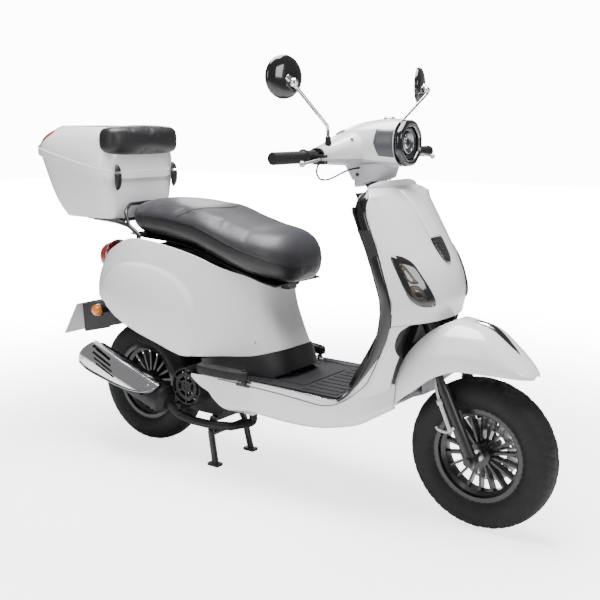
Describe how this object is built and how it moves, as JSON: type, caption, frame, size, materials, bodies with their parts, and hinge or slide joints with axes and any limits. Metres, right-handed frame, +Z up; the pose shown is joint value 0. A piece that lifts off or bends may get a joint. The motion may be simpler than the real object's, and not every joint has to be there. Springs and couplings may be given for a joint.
{
  "type": "moped scooter",
  "caption": "Step-through moped scooter with round mirrors, ribbed floor, two-level seat, rear carrier with top case and backrest, spoked cast wheels and centre stand.",
  "frame": {"origin": "on the floor, under the middle of the scooter's length and width", "axes": "+X forwards along the direction of travel, +Y to the rider's left, +Z up"},
  "size_m": [1.9193, 0.836, 1.303],
  "materials": {
    "white_paint": "glossy white moulding",
    "grey_plastic": "light grey moulding",
    "black_plastic": "satin black moulding",
    "gloss_black": "gloss black moulding",
    "dark_mat": "ribbed dark grey rubber",
    "frame_black": "black painted steel tube",
    "rack_black": "black powder coated tube",
    "chrome": "bright chrome",
    "alloy": "cast aluminium",
    "steel": "machined steel",
    "tyre": "black tyre rubber",
    "rim_black": "black painted cast rim",
    "vinyl": "dark grey vinyl",
    "rubber": "black rubber",
    "red_lens": "red transparent lens",
    "smoke_lens": "dark smoked lens",
    "lamp": "silver lamp with clear lens",
    "dial": "dark dial under a clear cover",
    "engine_black": "black painted casting",
    "exhaust_black": "heat resistant black paint",
    "plate_grey": "light grey blank plate",
    "mirror": "black backed mirror"
  },
  "bodies": {
    "chassis": {"frame": "frame_black", "floor_board": "black_plastic", "floor_mat": "dark_mat", "floor_side_panels": "white_paint", "leg_shield_front": "white_paint", "leg_shield_inner": "black_plastic", "horn_cover": "white_paint", "horn_grille": "gloss_black", "turn_signals": "smoke_lens", "rear_body": "white_paint", "side_covers": "white_paint", "lower_skirt": "black_plastic", "helmet_bucket": "black_plastic", "tail_light": "red_lens", "rear_mudguard": "black_plastic", "number_plate": "plate_grey", "rear_rack": "rack_black", "topcase_base": "white_paint", "shock_upper": "frame_black", "shock_spring": "chrome"},
    "steering": {"steering_stem": "steel", "headset_upper": "white_paint", "headset_lower": "grey_plastic", "headlight": "lamp", "speedometer": "dial", "handlebar": "black_plastic", "left_grip": "rubber", "brake_cable": "rubber", "mirror_stems": "chrome", "front_fender": "white_paint"},
    "fork_lower": {"fork_sliders": "alloy", "front_caliper": "alloy", "brake_hose": "rubber"},
    "front_wheel": {"front_tyre": "tyre", "front_rim": "rim_black", "front_wheel_bearings": "steel", "front_brake_disc": "steel"},
    "engine": {"engine_case": "engine_black", "cylinder": "alloy", "exhaust_pipe": "exhaust_black", "heat_shield": "chrome"},
    "rear_wheel": {"rear_tyre": "tyre", "rear_rim": "rim_black"},
    "crank": {"crankshaft": "steel"},
    "shock_rod": {"shock_lower": "steel"},
    "seat": {"seat_base": "black_plastic", "seat_cushion": "vinyl"},
    "lid": {"topcase_lid": "white_paint", "backrest_pad": "vinyl"},
    "throttle": {"throttle_grip": "rubber"},
    "right_lever": {"brake_lever_right": "alloy"},
    "left_lever": {"brake_lever_left": "alloy"},
    "starter": {"starter_button": "grey_plastic"},
    "horn": {"horn_button": "grey_plastic"},
    "right_mirror": {"mirror_head_right": "mirror"},
    "left_mirror": {"mirror_head_left": "mirror"},
    "stand": {"centre_stand": "frame_black"},
    "right_footrest": {"footrest_right": "rubber"},
    "left_footrest": {"footrest_left": "rubber"},
    "kickstart": {"kickstart_lever": "steel"}
  },
  "joints": [
    {"name": "steering_hinge", "type": "hinge", "parent": "chassis", "child": "steering", "pos_m": [0.52687, 0, 0.62], "axis": [-0.4384, 0, 0.8988], "range_deg": [-35, 35]},
    {"name": "fork_slide", "type": "slide", "parent": "steering", "child": "fork_lower", "axis": [-0.4384, 0, 0.8988], "range_m": [0, 0.05], "stiffness_N_per_m": 9000, "springref_m": -0.06},
    {"name": "front_wheel_spin", "type": "hinge", "parent": "fork_lower", "child": "front_wheel", "pos_m": [0.7435, 0, 0.217], "axis": [0, 1, 0], "continuous": true},
    {"name": "engine_swing", "type": "hinge", "parent": "chassis", "child": "engine", "pos_m": [-0.1525, 0, 0.33], "axis": [0, 1, 0], "range_deg": [0, 7], "stiffness_Nm_per_rad": 2400, "springref_deg": -6.88},
    {"name": "rear_wheel_spin", "type": "hinge", "parent": "engine", "child": "rear_wheel", "pos_m": [-0.5525, 0, 0.217], "axis": [0, 1, 0], "continuous": true},
    {"name": "crank_spin", "type": "hinge", "parent": "engine", "child": "crank", "pos_m": [-0.2525, 0, 0.275], "axis": [0, 1, 0], "continuous": true},
    {"name": "shock_slide", "type": "slide", "parent": "chassis", "child": "shock_rod", "axis": [0, 0, 1], "range_m": [0, 0.052], "deforming": ["shock_spring"]},
    {"name": "seat_hinge", "type": "hinge", "parent": "chassis", "child": "seat", "pos_m": [0.0725, 0, 0.634], "axis": [0, 1, 0], "range_deg": [0, 60]},
    {"name": "lid_hinge", "type": "hinge", "parent": "chassis", "child": "lid", "pos_m": [-0.5545, 0, 0.96], "axis": [0, 1, 0], "range_deg": [0, 75]},
    {"name": "throttle_twist", "type": "hinge", "parent": "steering", "child": "throttle", "pos_m": [0.3215, -0.35, 1.04], "axis": [0, -1, 0], "range_deg": [0, 70], "stiffness_Nm_per_rad": 0.3, "springref_deg": -20.05},
    {"name": "right_lever_pull", "type": "hinge", "parent": "steering", "child": "right_lever", "pos_m": [0.3595, -0.251, 1.034], "axis": [0, 0, -1], "range_deg": [0, 14], "stiffness_Nm_per_rad": 1.5, "springref_deg": -11.46},
    {"name": "left_lever_pull", "type": "hinge", "parent": "steering", "child": "left_lever", "pos_m": [0.3595, 0.251, 1.034], "axis": [0, 0, 1], "range_deg": [0, 14], "stiffness_Nm_per_rad": 1.5, "springref_deg": -11.46},
    {"name": "starter_push", "type": "slide", "parent": "steering", "child": "starter", "axis": [1, 0, 0], "range_m": [0, 0.003], "stiffness_N_per_m": 400, "springref_m": -0.002},
    {"name": "horn_push", "type": "slide", "parent": "steering", "child": "horn", "axis": [1, 0, 0], "range_m": [0, 0.003], "stiffness_N_per_m": 400, "springref_m": -0.002},
    {"name": "right_mirror_turn", "type": "hinge", "parent": "steering", "child": "right_mirror", "pos_m": [0.3415, -0.352, 1.232], "axis": [0, 0, 1], "range_deg": [-15, 15]},
    {"name": "left_mirror_turn", "type": "hinge", "parent": "steering", "child": "left_mirror", "pos_m": [0.3415, 0.352, 1.232], "axis": [0, 0, 1], "range_deg": [-15, 15]},
    {"name": "stand_swing", "type": "hinge", "parent": "engine", "child": "stand", "pos_m": [-0.2075, 0, 0.15], "axis": [0, 1, 0], "range_deg": [0, 80]},
    {"name": "right_footrest_fold", "type": "hinge", "parent": "chassis", "child": "right_footrest", "pos_m": [0.0395, -0.203, 0.365], "axis": [0, 0, 1], "range_deg": [0, 80]},
    {"name": "left_footrest_fold", "type": "hinge", "parent": "chassis", "child": "left_footrest", "pos_m": [0.0395, 0.203, 0.365], "axis": [0, 0, -1], "range_deg": [0, 80]},
    {"name": "kickstart_swing", "type": "hinge", "parent": "engine", "child": "kickstart", "pos_m": [-0.4325, 0.158, 0.232], "axis": [0, 1, 0], "range_deg": [0, 45], "stiffness_Nm_per_rad": 6, "springref_deg": -25.78}
  ],
  "couplings": [
    {"joint": "shock_slide", "follows": "engine_swing", "m_per_rad": 0.425}
  ]
}
